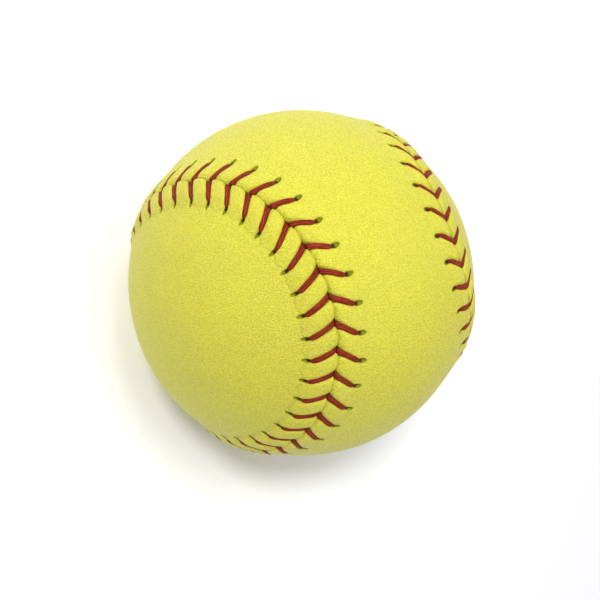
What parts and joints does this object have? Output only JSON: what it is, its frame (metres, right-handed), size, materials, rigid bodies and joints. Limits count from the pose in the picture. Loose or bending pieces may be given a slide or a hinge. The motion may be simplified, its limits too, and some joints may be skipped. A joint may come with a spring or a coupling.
{
  "type": "softball",
  "caption": "Twelve-inch softball: wound cork-and-rubber core under two figure-eight leather panels, sewn together with one raised V-stitched seam.",
  "frame": {"origin": "centre of the ball", "axes": "+Z through the narrow neck of cover panel a, +Y and -Y through its two lobes; -Z through the neck of panel b and +X and -X through its lobes"},
  "size_m": [0.0968, 0.0968, 0.097],
  "materials": {
    "leather": "optic yellow dyed leather, fine grain, soft semi-matt",
    "thread": "waxed red thread, flattened",
    "cork_rubber": "moulded cork granules in dark rubber, matt",
    "yarn": "tightly wound twisted yarn",
    "latex": "dried latex, satin",
    "cement": "dried rubber cement, satin"
  },
  "bodies": {
    "root": {"core": "cork_rubber", "yarn_winding": "yarn", "latex_coat": "latex", "cover_cement_a": "cement", "cover_cement_b": "cement", "cover_panel_a": "leather", "cover_panel_b": "leather", "seam_thread": "thread"}
  },
  "joints": []
}
